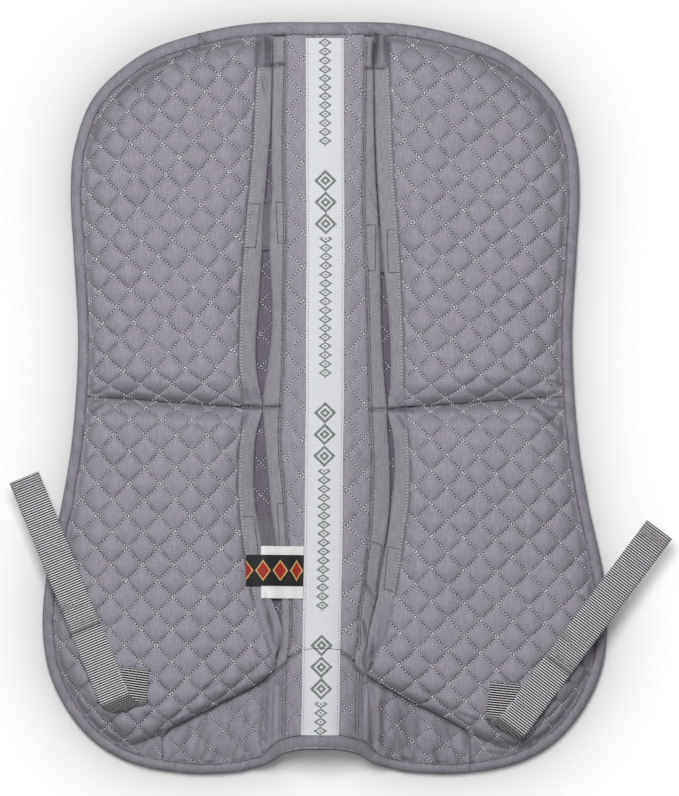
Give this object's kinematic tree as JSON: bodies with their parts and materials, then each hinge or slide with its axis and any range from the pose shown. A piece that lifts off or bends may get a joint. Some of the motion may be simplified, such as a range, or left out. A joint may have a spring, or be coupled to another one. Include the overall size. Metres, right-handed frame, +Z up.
{
  "type": "memory foam half pad",
  "caption": "Quilted half pad for under a saddle, with foam inserts in open-mouthed pockets, a raised spine channel and two webbing straps.",
  "frame": {"origin": "on the surface that the pad lies on, under the middle of the whole part's box; the spine runs along x = -0.0128", "axes": "+X to the pad's right seen from above with the withers end towards the viewer, +Y to the rear edge, +Z up, away from the horse"},
  "size_m": [0.5337, 0.6075, 0.0453],
  "materials": {
    "quilt": "quilted cotton, grey-lilac, matt",
    "facing": "plain cotton, grey-lilac, matt",
    "binding": "folded cotton tape, grey-lilac",
    "tape": "woven tape, off-white with a plain ornament",
    "webbing": "ribbed nylon webbing, grey, slight sheen",
    "hook_and_loop": "hook-and-loop tape, grey",
    "foam": "open-cell memory foam, cream",
    "label": "satin label, white",
    "dark_label": "woven label, black"
  },
  "bodies": {
    "left_half": {"base_panel_left": "quilt", "spine_panel_left": "quilt", "inner_facing_left": "facing", "wither_panel_left": "quilt", "pocket_panel_rear_left": "quilt", "pocket_panel_front_left": "quilt", "edge_binding_left": "binding", "closure_tongue_rear_left": "facing", "closure_tongue_front_left": "facing", "strap_anchor_left": "webbing", "spine_tape": "tape"},
    "right_half": {"base_panel_right": "quilt", "spine_panel_right": "quilt", "inner_facing_right": "facing", "wither_panel_right": "quilt", "pocket_panel_rear_right": "quilt", "pocket_panel_front_right": "quilt", "edge_binding_right": "binding", "closure_tongue_rear_right": "facing", "closure_tongue_front_right": "facing", "strap_anchor_right": "webbing"},
    "flap_rear_left": {"mouth_flap_rear_left": "facing", "closure_patch_rear_left": "hook_and_loop"},
    "flap_front_left": {"mouth_flap_front_left": "facing", "closure_patch_front_left": "hook_and_loop"},
    "flap_rear_right": {"mouth_flap_rear_right": "facing", "closure_patch_rear_right": "hook_and_loop"},
    "flap_front_right": {"mouth_flap_front_right": "facing", "closure_patch_front_right": "hook_and_loop"},
    "insert_rear_left": {"foam_insert_rear_left": "foam"},
    "insert_front_left": {"foam_insert_front_left": "foam"},
    "insert_rear_right": {"foam_insert_rear_right": "foam"},
    "insert_front_right": {"foam_insert_front_right": "foam"},
    "free_strap_left": {"strap_left": "webbing", "strap_hook_patch_left": "hook_and_loop", "strap_loop_patch_left": "hook_and_loop"},
    "free_strap_right": {"strap_right": "webbing", "strap_hook_patch_right": "hook_and_loop", "strap_loop_patch_right": "hook_and_loop"},
    "labels": {"care_label": "label", "woven_label": "dark_label"}
  },
  "joints": [
    {"name": "spine_fold", "type": "hinge", "parent": "left_half", "child": "right_half", "pos_m": [-0.0128, 0.1, 0.0155], "axis": [0, 0.9998, -0.02], "range_deg": [0, 120]},
    {"name": "flap_rear_left_lift", "type": "hinge", "parent": "left_half", "child": "flap_rear_left", "pos_m": [-0.07575, 0.138, 0.01745], "axis": [-0.0526, -0.9986, -0.0058], "range_deg": [0, 75]},
    {"name": "flap_front_left_lift", "type": "hinge", "parent": "left_half", "child": "flap_front_left", "pos_m": [-0.0791, -0.093, 0.0176], "axis": [0.0319, -0.9994, 0.0116], "range_deg": [0, 75]},
    {"name": "flap_rear_right_lift", "type": "hinge", "parent": "right_half", "child": "flap_rear_right", "pos_m": [0.05015, 0.138, 0.01745], "axis": [-0.0526, 0.9986, 0.0058], "range_deg": [0, 75]},
    {"name": "flap_front_right_lift", "type": "hinge", "parent": "right_half", "child": "flap_front_right", "pos_m": [0.0535, -0.093, 0.0176], "axis": [0.0319, 0.9994, -0.0116], "range_deg": [0, 75]},
    {"name": "insert_rear_left_shift", "type": "slide", "parent": "left_half", "child": "insert_rear_left", "axis": [1, 0, 0], "range_m": [0, 0.006]},
    {"name": "insert_front_left_shift", "type": "slide", "parent": "left_half", "child": "insert_front_left", "axis": [1, 0, 0], "range_m": [0, 0.006]},
    {"name": "insert_rear_right_shift", "type": "slide", "parent": "right_half", "child": "insert_rear_right", "axis": [-1, 0, 0], "range_m": [0, 0.006]},
    {"name": "insert_front_right_shift", "type": "slide", "parent": "right_half", "child": "insert_front_right", "axis": [-1, 0, 0], "range_m": [0, 0.006]},
    {"name": "strap_left_fold", "type": "hinge", "parent": "left_half", "child": "free_strap_left", "pos_m": [-0.1733, -0.248, 0.0273], "axis": [0.9935, 0.1136, 0], "range_deg": [0, 150]},
    {"name": "strap_right_fold", "type": "hinge", "parent": "right_half", "child": "free_strap_right", "pos_m": [0.13155, -0.26445, 0.0273], "axis": [0.9083, -0.4184, 0], "range_deg": [0, 150]},
    {"name": "label_lift", "type": "hinge", "parent": "left_half", "child": "labels", "pos_m": [-0.0286, -0.14, 0.03047], "axis": [0, 1, 0], "range_deg": [0, 48.75]}
  ],
  "couplings": [
    {"joint": "label_lift", "follows": "flap_front_left_lift", "ratio": 0.65}
  ]
}
